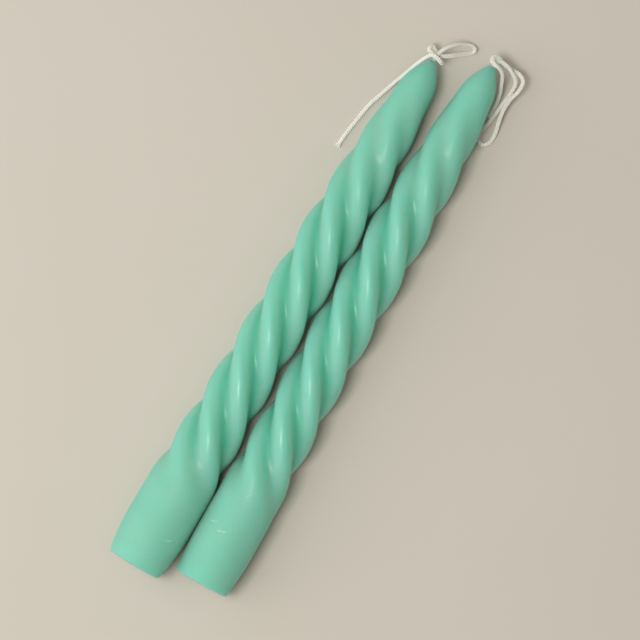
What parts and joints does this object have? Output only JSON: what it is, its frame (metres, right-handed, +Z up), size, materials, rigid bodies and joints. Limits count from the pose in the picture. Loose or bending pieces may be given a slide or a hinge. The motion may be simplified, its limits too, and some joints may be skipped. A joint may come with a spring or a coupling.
{
  "type": "twisted taper candle pair",
  "caption": "Pair of mint-green twisted taper candles with round feet and slip-knotted cotton wicks, lying side by side; each foot fits a standard candle holder.",
  "frame": {"origin": "on the table, under the middle of the box round the two wax bodies", "axes": "+Z up; +Y from the feet to the tips; +X from the left candle to the right one"},
  "size_m": [0.0463, 0.2125, 0.023],
  "materials": {
    "candle_wax": "satin, slightly translucent hardened candle wax, dyed through",
    "cotton_wick": "undyed flat-braided cotton, lightly waxed"
  },
  "bodies": {
    "left_candle": {"left_wax_body": "candle_wax", "left_wick_core": "cotton_wick", "left_wick_tail": "cotton_wick"},
    "right_candle": {"right_wax_body": "candle_wax", "right_wick_core": "cotton_wick", "right_wick_tail": "cotton_wick"}
  },
  "joints": [
    {"name": "right_candle_lift_away", "type": "slide", "parent": "left_candle", "child": "right_candle", "axis": [1, 0, 0], "range_m": [0, 0.06]}
  ]
}
